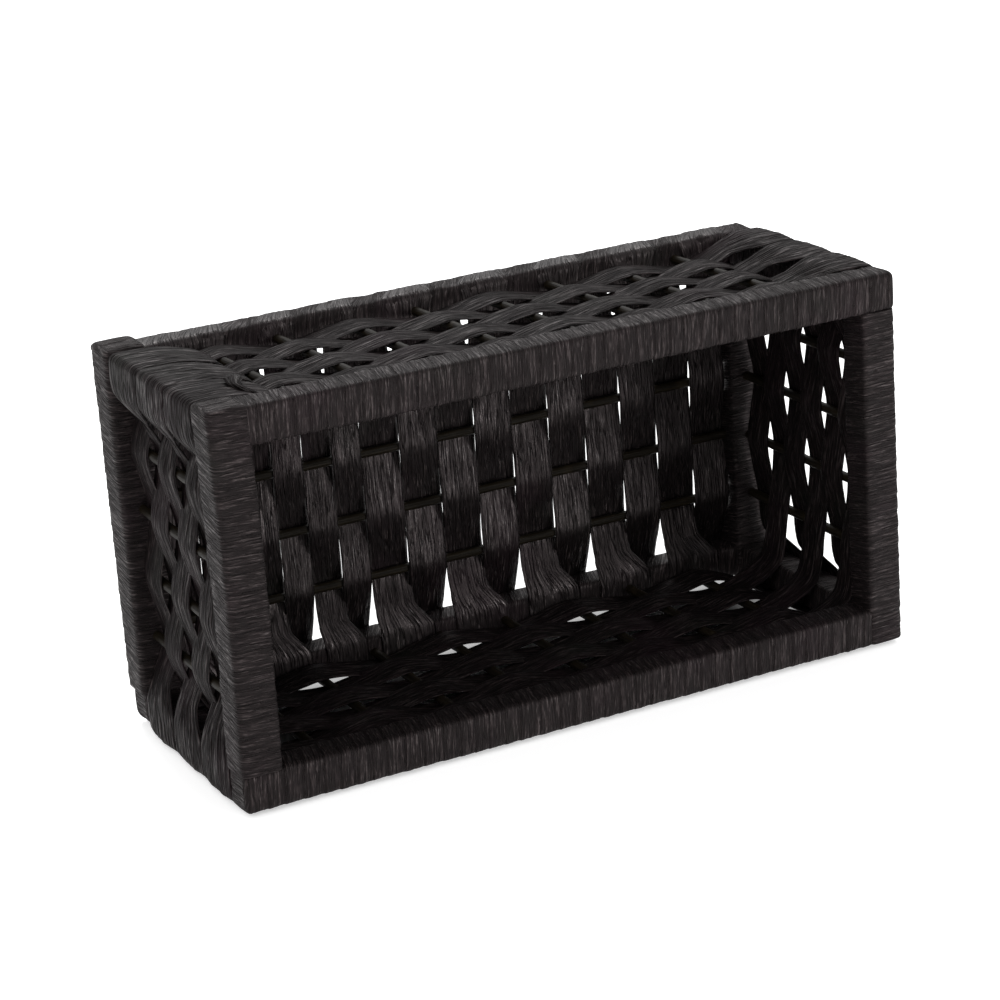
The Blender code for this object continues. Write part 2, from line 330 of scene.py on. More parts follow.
def paperMaterial(name, **changes):
    # Twisted paper: fibres and small folds run along U of the ribbon's own map, and V goes across it
    values = paperSettings | changes
    material, graph, shader = newMaterial(name)
    along = graph.add("ShaderNodeUVMap", {"uv_map": "UVMap"})
    split = graph.add("ShaderNodeSeparateXYZ", inputs={0: along})
    run = split.out("X")
    across = split.out("Y")
    fibre = graph.noise(graph.point(run / values["fibreRun"], across / values["fibre"], 3.7), detail=3.0)
    finer = graph.noise(graph.point(run / (values["fibreRun"] * 0.4), across / (values["fibre"] * 0.5), 9.1))
    fold = graph.noise(graph.point(run / values["foldRun"], across / values["fold"], 6.3), detail=1.0)
    spot = graph.add("ShaderNodeTexCoord").out("Object")
    patch = graph.noise(spot, scale=1 / values["patch"], detail=2.0)
    other = graph.noise(graph.vector("ADD", spot, (0.31, 0.17, 0.53)), scale=1 / values["patch"], detail=2.0)

    groove = graph.noise(graph.point(run / values["grooveRun"], across / values["groove"], 2.9), detail=1.0)
    groove = graph.calc("ABSOLUTE", groove - 0.5)  # painted shade: thin dark lines in the creases where the strands of the twist meet
    lit = graph.smooth(groove, 0.0, values["grooveWide"])
    # painted shade: darker along a ribbon's edge, where one turn lies on the last
    if values["edge"] > 0:
        lit = lit * graph.smooth(across, 0.0, values["edge"], 0.1, 1.0)

    strands = fibre * 0.7 + finer * 0.3
    # the painted crease shade darkens the colour here, and below it keeps the painted glints out of the
    # creases
    body = graph.smooth(strands, *values["bodyRange"]) * lit
    colour = graph.tint(body, values["dark"], values["light"])
    warm = graph.smooth(patch, *values["warmRange"], 0.0, values["warmShare"])
    colour = graph.tint(warm, colour, values["warm"])
    green = graph.smooth(other, *values["greenRange"], 0.0, values["greenShare"])
    colour = graph.tint(green, colour, values["green"])
    raised = fibre * 0.6 + finer * 0.4
    bright = graph.smooth(raised, values["glintFrom"], values["glintTo"], 0.0, values["glintShare"]) * lit
    # painted highlight: the glint colour is mixed into the base colour on the raised fibres
    colour = graph.tint(bright, colour, values["glint"])
    graph.plug(colour, shader.inputs["Base Color"])
    rough = values["rough"] - values["roughDrop"] * body - values["glintDrop"] * bright
    graph.plug(rough, shader.inputs["Roughness"])
    shader.inputs["Specular IOR Level"].default_value = values["shine"]
    shader.inputs["Specular Tint"].default_value = values["shineTint"]
    graph.plug(bright * values["coat"], shader.inputs["Coat Weight"])
    shader.inputs["Coat Roughness"].default_value = values["coatRough"]
    creased = fold + lit * values["grooveRelief"]
    coarse = graph.add("ShaderNodeBump", inputs={"Height": creased, "Distance": values["foldRelief"]})
    fine = {"Height": strands, "Distance": values["relief"], "Normal": coarse}
    graph.plug(graph.add("ShaderNodeBump", inputs=fine), shader.inputs["Normal"])
    return material


reedLook = {
    "dark": (0.0028, 0.0020, 0.0010, 1.0),
    "light": (0.0095, 0.0068, 0.0036, 1.0),
    "worn": (0.018, 0.013, 0.007, 1.0),
    "poreLength": 0.02,
    "poreWidth": 0.0005,
    "wornScale": 90.0,
    "wornShare": 0.6,
    "shine": 0.10,
    "rough": 0.62,
    "relief": 0.00015,
}


def reedMaterial(name, values):
    # Dyed reed: long pores along the stake, paler where the dye is thin
    material, graph, shader = newMaterial(name)
    along = graph.add("ShaderNodeUVMap", {"uv_map": "UVMap"})
    split = graph.add("ShaderNodeSeparateXYZ", inputs={0: along})
    place = graph.point(split.out("X") / values["poreLength"], split.out("Y") / values["poreWidth"], 1.3)
    pores = graph.noise(place, detail=3.0)
    spot = graph.add("ShaderNodeTexCoord").out("Object")
    worn = graph.noise(spot, scale=values["wornScale"], detail=2.0)
    colour = graph.tint(graph.smooth(pores, 0.35, 0.7), values["dark"], values["light"])
    colour = graph.tint(graph.smooth(worn, 0.56, 0.76, 0.0, values["wornShare"]), colour, values["worn"])
    graph.plug(colour, shader.inputs["Base Color"])
    shader.inputs["Specular IOR Level"].default_value = values["shine"]
    graph.plug(values["rough"] - 0.2 * pores, shader.inputs["Roughness"])
    bump = graph.add("ShaderNodeBump", inputs={"Height": pores, "Distance": values["relief"]})
    graph.plug(bump, shader.inputs["Normal"])
    return material


battenLook = {
    "early": (0.44, 0.30, 0.17, 1.0),
    "late": (0.30, 0.18, 0.09, 1.0),
    "grain": (0.20, 0.12, 0.06, 1.0),
    "wander": 0.006,  # how far the rings stray
    "wanderScale": 22.0,
    "ringScale": 60.0,
    "ringDistortion": 3.0,
    "grainScale": 700.0,
    "grainShare": 0.35,
    "rough": 0.6,
    "relief": 0.0001,
}


def battenMaterial(name, values):
    # Raw softwood under the ribbons: growth rings cut by the batten's own length
    material, graph, shader = newMaterial(name)
    spot = graph.add("ShaderNodeTexCoord").out("Object")
    stray = graph.noise(spot, scale=values["wanderScale"]).out("Color")
    bent = graph.vector("ADD", spot, graph.scaled(stray, values["wander"]))
    ringInputs = {"Vector": bent, "Scale": values["ringScale"], "Distortion": values["ringDistortion"]}
    rings = graph.add("ShaderNodeTexWave", {"wave_type": "RINGS"}, ringInputs)
    grain = graph.noise(spot, scale=values["grainScale"], detail=2.0)
    colour = graph.tint(rings.out("Fac"), values["early"], values["late"])
    colour = graph.tint(graph.smooth(grain, 0.45, 0.8, 0.0, values["grainShare"]), colour, values["grain"])
    graph.plug(colour, shader.inputs["Base Color"])
    graph.plug(values["rough"] + 0.2 * grain, shader.inputs["Roughness"])
    bump = graph.add("ShaderNodeBump", inputs={"Height": grain, "Distance": values["relief"]})
    graph.plug(bump, shader.inputs["Normal"])
    return material


# the wound bars carry a painted shade line along each turn's edge
wrapPaper = paperMaterial("wrapped_paper", fibre=0.00050, fibreRun=0.0060, glintShare=0.30, edge=0.0007)
wallPaper = paperMaterial("wall_paper", fibre=0.00060, glintShare=0.25, shine=0.10)
# painted shade: a darker copy of the paper, with fewer painted glints, for the tucked knot
shadedKnotPaper = paperMaterial("shaded_knot_paper", light=(0.0050, 0.0042, 0.0034, 1.0), glintShare=0.10, shine=0.12)
# painted shade: a darker copy of the paper for the base at the back of the box, with more painted glints
shadedBasePaper = paperMaterial(
    "base_paper", light=(0.0046, 0.0034, 0.0036, 1.0), fibre=0.00052, fibreRun=0.0075, glintShare=0.5,
    glintFrom=0.53, shine=0.32, rough=0.50, roughDrop=0.20, relief=0.00060,
)
reed = reedMaterial("dyed_reed", reedLook)
battenWood = battenMaterial("batten_wood", battenLook)
print("materials are made")


windingGrain = {  # what is uneven about a wound ribbon
    "drift": 38,  # how fast the edges of the turns wander along the bar
    "heightRun": 0.045,  # length of ribbon over which its edge stands higher or lower
    "heightLow": 0.25,
    "heightMore": 1.5,
    "foldRun": 0.016,
    "foldWidth": 0.0017,
    "lumpScale": 70.0,
    "capMap": 0.02,  # where the map of an end face starts, across the ribbon
}
weldDistance = 0.00001


def wrappedBarTree(grain):
    # A bar along X from its origin: a rounded rectangle wound with ribbon whose edge makes one step a turn
    graph, size = newShapeTree("wrapped_bar", {
        "Length": "Float", "Width": "Float", "Depth": "Float", "Squareness": "Float",
        "Start Rounding": "Float", "End Rounding": "Float", "Ribbon Width": "Float", "Twist": "Float",
        "Slant": "Float", "Uneven": "Float", "Lap": "Float", "Riser": "Float", "Crease": "Float",
        "Lumps": "Float", "Bend": "Vector", "Seed": "Float", "Step": "Float", "Around": "Int",
        "Material": "Material",
    })
    length = size["Length"]
    startRound = size["Start Rounding"]
    endRound = size["End Rounding"]
    reach = graph.calc("MINIMUM", size["Width"], size["Depth"]) / 2
    startArm = reach + startRound * (pi / 2 - 1)  # from the middle of an end face to the straight part
    endArm = reach + endRound * (pi / 2 - 1)
    straight = length - startRound - endRound
    whole = startArm + endArm + straight
    rows = graph.calc("CEIL", whole / size["Step"]) + 1
    grid = {"Size X": 1.0, "Size Y": 1.0, "Vertices X": rows, "Vertices Y": size["Around"] + 1}
    sheet = graph.add("GeometryNodeMeshGrid", inputs=grid)
    flat = graph.add("ShaderNodeSeparateXYZ", inputs={0: graph.add("GeometryNodeInputPosition")})
    travel = (flat.out("X") + 0.5) * whole
    turn = flat.out("Y") + 0.5

    # Lengthwise outline: up the end face, round its edge and along the bar, from the nearer end
    far = travel > (startArm + straight / 2)
    near = travel + far * (whole - 2 * travel)
    rounding = startRound + far * (endRound - startRound)
    rise = (near - (reach - rounding)) / rounding
    bend = graph.calc("MINIMUM", graph.calc("MAXIMUM", rise, 0.0), pi / 2)
    inset = rounding * (1 - graph.calc("SINE", bend)) + graph.calc("MAXIMUM", reach - rounding - near, 0.0)
    past = graph.calc("MAXIMUM", near - reach + rounding - rounding * (pi / 2), 0.0)
    alongNear = rounding * (1 - graph.calc("COSINE", bend)) + past
    x = alongNear + far * (length - 2 * alongNear)
    shrink = 1 - inset / reach

    # Across: even steps along the four sides of a rounded square
    side = graph.calc("FLOOR", turn * 4)
    angle = side * (pi / 2) + graph.calc("ARCTANGENT", (turn * 4 - side) * 2 - 1)
    cosine = graph.calc("COSINE", angle)
    sine = graph.calc("SINE", angle)
    power = size["Squareness"]
    wide = graph.calc("ABSOLUTE", cosine / (size["Width"] / 2)) ** power
    deep = graph.calc("ABSOLUTE", sine / (size["Depth"] / 2)) ** power
    radius = shrink / (wide + deep) ** (1 / power)

    # The helix: which turn of ribbon lies here, and how far across it
    drift = graph.noise(graph.point(x * grain["drift"], size["Seed"], 0.5), detail=1.0) - 0.5
    advance = turn - size["Slant"] * graph.calc("COSINE", turn * (4 * pi)) / (4 * pi)
    turns = x / size["Ribbon Width"] + size["Twist"] * advance + drift * size["Uneven"]
    number = graph.calc("FLOOR", turns)
    girth = (size["Width"] + size["Depth"]) * 2
    wound = (number - size["Twist"] * turn) * girth
    across = (turns - number) * size["Ribbon Width"]
    onCap = (reach - rounding - near) > 0.0  # an end face is mapped flat
    capped = (radius * cosine - wound) * onCap
    flatAcross = (radius * sine + grain["capMap"] - across) * onCap
    ribbonMap = graph.point(wound + capped, across + flatAcross, 0.0)
    mapped = graph.add(
        "GeometryNodeStoreNamedAttribute", {"data_type": "FLOAT2", "domain": "CORNER"},
        {"Geometry": sheet, "Name": "UVMap", "Value": ribbonMap},
    )
    bowed = graph.scaled(size["Bend"], graph.calc("SINE", x / length * pi))
    skin = graph.vector("ADD", graph.point(x, radius * cosine, radius * sine), bowed)
    bar = graph.add("GeometryNodeSetPosition", inputs={"Geometry": mapped, "Position": skin})
    bar = graph.add("GeometryNodeMergeByDistance", inputs={"Geometry": bar, "Distance": weldDistance})
    bar = graph.add("GeometryNodeFlipFaces", inputs={"Mesh": bar})

    # Relief of the ribbon: a step at each turn's edge, small folds along it, and soft lumps
    named = graph.add("GeometryNodeInputNamedAttribute", {"data_type": "FLOAT_VECTOR"}, {"Name": "UVMap"})
    ribbon = graph.add("ShaderNodeSeparateXYZ", inputs={0: named})
    run = ribbon.out("X")
    across = ribbon.out("Y")
    share = graph.calc("FRACT", across / size["Ribbon Width"])
    height = graph.noise(graph.point(run / grain["heightRun"], size["Seed"], 2.5), detail=1.0)
    height = grain["heightLow"] + grain["heightMore"] * height
    step = size["Lap"] * height * graph.smooth(across, 0.0, size["Riser"]) * (1 - share)
    place = graph.point(run / grain["foldRun"], across / grain["foldWidth"], size["Seed"])
    folds = graph.noise(place, detail=1.0) - 0.5
    spot = graph.vector("ADD", graph.add("GeometryNodeInputPosition"), graph.point(size["Seed"], 0.0, 0.0))
    lumps = graph.noise(spot, scale=grain["lumpScale"], detail=1.0) - 0.5
    lift = step + folds * 2 * size["Crease"] + lumps * 2 * size["Lumps"]
    offset = graph.scaled(graph.add("GeometryNodeInputNormal"), lift)
    bar = graph.add("GeometryNodeSetPosition", inputs={"Geometry": bar, "Offset": offset})
    return closeShapeTree(graph, bar, size["Material"])


wrapSettings = {
    "Squareness": 8.0, "Ribbon Width": 0.0068, "Uneven": 1.2, "Lap": 0.00026, "Riser": 0.0010,
    "Crease": 0.00018, "Lumps": 0.00028, "Step": 0.00046, "Around": 72,
    "bend": (0.0, 0.0, 0.0),  # how far the middle of the bar stands off its line, in the caddy's X, Y and Z
    "sunk": 0.0003,  # how far the wound surface starts below the bar's own size
    "openEdge": 0.0017,  # rounding of an end that shows
    "buttEdge": 0.0004,  # rounding of an end that meets another bar
    "buttReach": 0.0010,  # how far such an end goes on, to close the gap
}

# Which end of each bar runs through at its corner, which way the ribbon is wound, and where it slants
ringBars = {
    "left": {"through": 1, "Twist": 1.0, "Slant": 0.8},
    "bottom": {"through": 0, "Twist": 1.0, "Slant": -0.8},
    "right": {"through": 0, "Twist": -1.0, "Slant": 0.8},
    "top": {"through": 1, "Twist": 1.0, "Slant": -0.8},
}

barChanges = {
    "rim_left": {"bend": (0.0010, 0.0, 0.0), "sunk": -0.0003},
    "base_left": {"sunk": -0.0017},
    "base_right": {"sunk": -0.0009},
    "base_top": {"Ribbon Width": 0.0165, "Lumps": 0.0010, "sunk": -0.0002},
    "base_bottom": {"Ribbon Width": 0.0165, "Lumps": 0.0004, "sunk": 0.0},
}


def wrapBar(node, tree, seed, through, changes):
    values = wrapSettings | changes
    low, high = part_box(node)
    size = high - low
    longAxis = max(range(3), key=lambda axis: size[axis])
    axes = [longAxis, (longAxis + 1) % 3, (longAxis + 2) % 3]
    sunk = values["sunk"]
    reaches = [-sunk if through in (end, None) else values["buttReach"] for end in (0, 1)]
    edges = [values["openEdge"] if through == end else values["buttEdge"] for end in (0, 1)]
    turned = Matrix([[1.0 if axes[column] == row else 0.0 for column in range(3)] for row in range(3)])
    start = (low + high) / 2
    start[longAxis] = low[longAxis] - reaches[0]
    inputs = {key: value for key, value in values.items() if key[0].isupper()}
    inputs |= {
        "Length": size[longAxis] + sum(reaches),
        "Width": size[axes[1]] - 2 * sunk,
        "Depth": size[axes[2]] - 2 * sunk,
        "Start Rounding": edges[0],
        "End Rounding": edges[1],
        "Bend": [values["bend"][axis] for axis in axes],
        "Seed": seed,
        "Material": wrapPaper,
    }
    place = Matrix.Translation(start) @ turned.to_4x4()
    bar = growPiece(node.replace("_wrap", "_winding"), tree, inputs, place)
    fit(bar, "wrapped_ribbon", node)


barTree = wrappedBarTree(windingGrain)
for ringNumber, ring in enumerate(("rim", "base")):
    for barNumber, (side, values) in enumerate(ringBars.items()):
        changes = {key: value for key, value in values.items() if key != "through"}
        changes |= barChanges.get(f"{ring}_{side}", {})
        seed = 3.0 + 7.3 * ringNumber + 1.9 * barNumber
        wrapBar(f"{ring}_{side}_wrap", barTree, seed, values["through"], changes)
        print(f"{ring} {side} bar is wound")
for number, corner in enumerate(("top_right", "bottom_right", "bottom_left", "top_left")):
    wrapBar(f"post_{corner}_wrap", barTree, 31.0 + 2.3 * number, None, {"Twist": 1.0, "Slant": 0.0})
print("posts are wound")


ribbonGrain = {  # what is uneven about a flat ribbon
    "pleatRun": 0.03,
    "raggedRun": 0.009,
    "innerMap": 0.03,  # where the map of the inner face starts, across the ribbon
}


def ribbonTree(grain):
    # A thin ribbon along a guide: a guide point's radius is half the ribbon's width, and its tilt is the bow
    graph, size = newShapeTree("woven_ribbon", {
        "Guide": "Object", "Width Axis": "Vector", "Nominal Half Width": "Float", "Thickness": "Float",
        "Bow": "Float", "Pleat": "Float", "Pleat Width": "Float", "Ragged": "Float", "Open Ends": "Float",
        "Seed": "Float", "Step": "Float", "Around": "Int", "Material": "Material",
    })
    info = graph.add("GeometryNodeObjectInfo", {"transform_space": "ORIGINAL"}, {"Object": size["Guide"]})
    guide = info.out("Geometry")
    whole = graph.add("GeometryNodeCurveLength", inputs={"Curve": guide})
    rows = graph.calc("CEIL", whole / size["Step"]) + 1
    grid = {"Size X": 1.0, "Size Y": 1.0, "Vertices X": rows, "Vertices Y": size["Around"] + 1}
    sheet = graph.add("GeometryNodeMeshGrid", inputs=grid)
    flat = graph.add("ShaderNodeSeparateXYZ", inputs={0: graph.add("GeometryNodeInputPosition")})
    share = flat.out("X") + 0.5
    turn = flat.out("Y") + 0.5
    run = share * whole

    sampling = {"mode": "FACTOR", "use_all_curves": True, "data_type": "FLOAT"}
    radius = graph.add("GeometryNodeInputRadius")
    tilt = graph.add("GeometryNodeInputCurveTilt")
    line = graph.add("GeometryNodeSampleCurve", sampling, {"Curves": guide, "Value": radius, "Factor": share})
    bowed = graph.add("GeometryNodeSampleCurve", sampling, {"Curves": guide, "Value": tilt, "Factor": share})
    ahead = line.out("Tangent")
    out = graph.vector("NORMALIZE", graph.vector("CROSS_PRODUCT", ahead, size["Width Axis"]))
    loop = whole / (2 * pi)  # the noise repeats after one length, so that a closed ribbon meets itself
    loopX = loop * graph.calc("COSINE", share * (2 * pi))
    loopY = loop * graph.calc("SINE", share * (2 * pi))

    across = 1 - graph.calc("ABSOLUTE", turn * 4 - 2)  # -1 to 1 on the outer face and back on the inner one
    face = graph.calc("SIGN", 0.5 - turn)
    rim = graph.calc("MAXIMUM", 1 - graph.calc("ABSOLUTE", across) ** 6, 0.0)
    fromEnd = graph.calc("MINIMUM", share, 1 - share) * whole / size["Thickness"]
    ended = graph.calc("SQRT", graph.calc("MINIMUM", fromEnd, 1.0))
    taper = 1 - size["Open Ends"] * (1 - ended)
    thick = face * graph.calc("SQRT", rim) * taper * size["Thickness"] / 2
    bow = bowed * size["Bow"] * (1 - across * across)
    nominal = across * size["Nominal Half Width"]
    stripe = nominal / size["Pleat Width"] + size["Seed"] * 7
    place = graph.point(loopX / grain["pleatRun"], loopY / grain["pleatRun"], stripe)
    pleats = graph.noise(place, detail=1.0)
    ridges = graph.calc("ABSOLUTE", pleats - 0.5) * 4 - 0.5
    pleat = ridges * size["Pleat"] * (1 - across ** 4.0)
    edge = graph.calc("SIGN", across) * 9 + size["Seed"] * 5
    ragged = graph.noise(graph.point(loopX / grain["raggedRun"], loopY / grain["raggedRun"], edge))
    halfWidth = line.out("Value") * (1 + (ragged - 0.5) * 2 * size["Ragged"])
    place = graph.vector("ADD", line.out("Position"), graph.scaled(size["Width Axis"], across * halfWidth))
    place = graph.vector("ADD", place, graph.scaled(out, thick + bow + pleat))
    ribbonMap = graph.point(run, nominal + grain["innerMap"] * (turn > 0.5) + size["Seed"], 0.0)
    mapped = graph.add(
        "GeometryNodeStoreNamedAttribute", {"data_type": "FLOAT2", "domain": "CORNER"},
        {"Geometry": sheet, "Name": "UVMap", "Value": ribbonMap},
    )
    ribbon = graph.add("GeometryNodeSetPosition", inputs={"Geometry": mapped, "Position": place})
    ribbon = graph.add("GeometryNodeMergeByDistance", inputs={"Geometry": ribbon, "Distance": weldDistance})
    return closeShapeTree(graph, ribbon, size["Material"])


def shapeHandles(ends, cyclic, share=0.24):
    # Short handles, so that a ribbon runs nearly straight from stake to stake and bends close to each
    last = len(ends) - 1
    for index, end in enumerate(ends):
        before = ends[index - 1].co if cyclic or index > 0 else end.co
        after = ends[(index + 1) % len(ends)].co if cyclic or index < last else end.co
        way = (after - before).normalized()
        end.handle_left_type = "FREE"
        end.handle_right_type = "FREE"
        end.handle_left = end.co - way * (end.co - before).length * share
        end.handle_right = end.co + way * (after - end.co).length * share


def addGuide(name, splines, cyclic, kind="BEZIER"):
    # A spline is a list of points, each with its place, half the ribbon's width and its bow
    data = bpy.data.curves.new(name, "CURVE")
    data.dimensions = "3D"
    data.resolution_u = 14
    for points in splines:
        spline = data.splines.new(kind)
        ends = spline.bezier_points if kind == "BEZIER" else spline.points
        ends.add(len(points) - 1)
        spline.use_cyclic_u = cyclic
        for end, (place, halfWidth, bow) in zip(ends, points):
            end.co = place if kind == "BEZIER" else (*place, 1.0)
            end.radius = halfWidth
            end.tilt = bow
        if kind == "BEZIER":
            shapeHandles(ends, cyclic)
    guide = bpy.data.objects.new(name, data)
    bpy.context.scene.collection.objects.link(guide)
    return guide


def growAlong(name, tree, guide, values):
    piece = growPiece(name, tree, values | {"Guide": guide})
    bpy.data.objects.remove(guide)
    return piece


weaveSettings = {
    "ribbons": 6,
    "pitch": 0.01345,
    "baseSpace": 0.0040,  # between the base and the first ribbon
    "rimSpace": 0.0004,
    "rimCover": 0.0016,  # how far a spread ribbon lies over the rim's back edge
    "lift": 0.0021,  # from a stake's middle to the ribbon that passes it
    "sway": {"top": 0.0002, "right": -0.0004, "bottom": 0.0, "left": -0.0002},
    "overlap": {"top": 0.0014, "right": 0.0010, "bottom": 0.0020, "left": 0.0020},  # past the next ribbon
    "endSway": 0.5,  # share of the sway that is left to the first and the last ribbon
    "postLift": 0.0008,  # from a post's face to the middle of a ribbon on it
    "fold": 0.0016,  # bend of a ribbon round a post's edge
    "spreadFrom": 0.0085,
    "spreadLift": 0.45,  # share of its height on the post that a ribbon has where it starts to spread
    "spreadMore": 0.0006,  # how far a spread ribbon reaches over its neighbour on a post
    "foldedHalf": 0.0030,  # half the width of the folded ribbons that leave the top left post downwards
    "cover": 0.024,  # how far past that post they stay spread over the top
}
right = Vector((1, 0, 0))
up = Vector((0, 0, 1))
wallLoop = (  # in the order that a ribbon runs round; a post that counts takes its turn as a stake does
    {"name": "top", "along": right, "out": up, "post": "top_right", "counts": True},
    {"name": "right", "along": -up, "out": right, "post": "bottom_right", "counts": False},
    {"name": "bottom", "along": -right, "out": -up, "post": "bottom_left", "counts": False},
    {"name": "left", "along": up, "out": -right, "post": "top_left", "counts": True},
)


def stakePoint(node, y):  # the middle of a stake where it passes y
    low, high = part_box(node)
    middle = (low + high) / 2
    if node.startswith("top"):  # these climb to the rim
        radius = (high.x - low.x) / 2
        share = (high.y - y) / (high.y - low.y)
        middle.z = low.z + radius + share * (high.z - low.z - 2 * radius)
    middle.y = y
    return middle


def wallStakes(wall):
    count = sum(node.startswith(f"{wall['name']}_stake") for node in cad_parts)
    nodes = [f"{wall['name']}_stake_{number}" for number in range(1, count + 1)]
    return nodes if sum(wall["along"]) > 0 else nodes[::-1]


def ribbonGuide(number, values):
    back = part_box("base_top_wrap")[0].y - values["baseSpace"]
    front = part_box("rim_top_wrap")[1].y + values["rimSpace"]
    pitch = values["pitch"]
    ends = (back - (number - 1) * pitch, max(back - number * pitch, front))
    middle = sum(ends) / 2
    pitchHalf = (ends[0] - ends[1]) / 2
    pairStart = back - 2 * ((number - 1) // 2) * pitch
    pairEnd = pairStart - 2 * pitch
    if pairEnd < front:
        pairEnd = front - values["rimCover"]
    spreadMiddle = (pairStart + pairEnd) / 2
    spreadHalf = (pairStart - pairEnd) / 2 + values["spreadMore"]
    edgeShare = values["endSway"] if number in (1, values["ribbons"]) else 1.0
    points = []
    turn = number
    for wall in wallLoop:
        sway = values["sway"][wall["name"]] * edgeShare
        halfWidth = pitchHalf + values["overlap"][wall["name"]]
        for node in wallStakes(wall):
            side = 1 if turn % 2 else -1
            turn += 1
            place = stakePoint(node, middle - side * sway)
            points.append((place + wall["out"] * side * values["lift"], halfWidth, side))
        over = (turn if wall["counts"] else number) % 2 == 1
        turn += wall["counts"]
        low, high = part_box(f"post_{wall['post']}_wrap")
        post = (low + high) / 2
        core = (high.x - low.x) / 2  # half the post's thickness
        hug = core + values["postLift"]
        if not over:
            post.y = middle + sway
            points.append((post - hug * (wall["along"] + wall["out"]), halfWidth, 0))
            continue
        fold = values["fold"]
        start = core + values["spreadFrom"]
        nearer = hug * values["spreadLift"]
        way = [  # along the wall, out of it, and how far the ribbon is spread
            (-start, nearer, 0.0), (-core, hug, 1.0), (hug - fold, hug, 1.0),
            (hug, hug - fold, 1.0), (hug, -core, 1.0), (nearer, -start, 0.0),
        ]
        narrow = halfWidth
        if wall["name"] == "left":  # folded narrow below the post, and spread well past it on the top
            narrow = values["foldedHalf"]
            way[-1:] = [(hug * 0.9, -values["cover"] * 0.6, 0.9), (hug * 0.6, -values["cover"], 0.5)]
        for along, out, spread in way:
            place = post + wall["along"] * along + wall["out"] * out
            place.y = spreadMiddle * spread + (middle - sway) * (1 - spread)
            atStart = narrow if along == -start else halfWidth
            points.append((place, spreadHalf * spread + atStart * (1 - spread), spread))
    hidden = min(range(len(points)), key=lambda index: points[index][0].z)
    return points[hidden:] + points[:hidden]  # the loop closes on the underside


ribbonSettings = {
    "Width Axis": (0.0, 1.0, 0.0), "Nominal Half Width": 0.0065, "Thickness": 0.0008, "Bow": 0.0007,
    "Pleat": 0.00048, "Pleat Width": 0.0023, "Ragged": 0.07, "Open Ends": 0.0, "Step": 0.0011, "Around": 44,
}
flatRibbon = ribbonTree(ribbonGrain)
for number in range(1, weaveSettings["ribbons"] + 1):
    guide = addGuide(f"wall_guide_{number}", [ribbonGuide(number, weaveSettings)], True)
    values = ribbonSettings | {"Seed": 2.0 + 1.7 * number, "Material": wallPaper}
    woven = growAlong(f"wall_weave_{number}", flatRibbon, guide, values)
    fit(woven, "wall_ribbon", f"wall_ribbon_{number}")
print("wall ribbons are woven")

knotSettings = ribbonSettings | {
    "Width Axis": (0.83, -0.56, 0.0), "Nominal Half Width": 0.003, "Bow": 0.0009, "Pleat": 0.0006,
    "Pleat Width": 0.0016, "Ragged": 0.25, "Open Ends": 1.0, "Step": 0.0005, "Around": 36, "Seed": 77.0,
    "Material": shadedKnotPaper,
}
knotPoints = (  # a ribbon's end, tucked in beside the top left post: place, half width and bow
    ((-0.1105, -0.0110, 0.1462), 0.0012, 0.3),
    ((-0.1150, -0.0205, 0.1493), 0.0022, 0.8),
    ((-0.1180, -0.0285, 0.1507), 0.0036, 1.0),
    ((-0.1198, -0.0335, 0.1503), 0.0022, 0.2),
    ((-0.1165, -0.0395, 0.1478), 0.0032, 0.8),
)
guide = addGuide("knot_guide", [[(Vector(place), half, bow) for place, half, bow in knotPoints]], False)
knot = growAlong("ribbon_knot", flatRibbon, guide, knotSettings)
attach(knot, "root")


baseSettings = {
    "columns": 16,
    "narrow": (3, 4, 5),
    "narrowShare": 0.75,
    "slot": -0.0001,  # between two columns; below nothing they overlap
    "sideSpace": 0.0004,  # between the outer columns and the side bars
    "lift": 0.0024,
    "railLift": 0.0001,
    "fold": 0.0016,
    "stakeLean": 0.0010,  # to the left in front of a stake and to the right behind it
    "topLean": 0.0025,
    "bottomLean": 0.0008,
    "flare": 1.45,  # how much wider a column lies on the bottom rail
    "flareShift": 0.0034,
    "flareFrom": 0.0085,  # height above the rail
    "flareStart": (0.5, 1.03, 0.12),  # there: shares of the way forward, the width and the shift
    "railSpread": 1.35,  # and on the top rail
    "leave": (0.85, 0.0025),  # behind a rail: share of its thickness, and height past it
}


def baseColumns(values, halfWidth):
    count = values["columns"]
    shares = [values["narrowShare"] if column in values["narrow"] else 1.0 for column in range(count)]
    full = 2 * halfWidth / sum(shares)
    columns = []
    left = -halfWidth
    for share in shares:
        columns.append((left + full * share / 2, (full * share - values["slot"]) / 2))
        left += full * share
    return columns


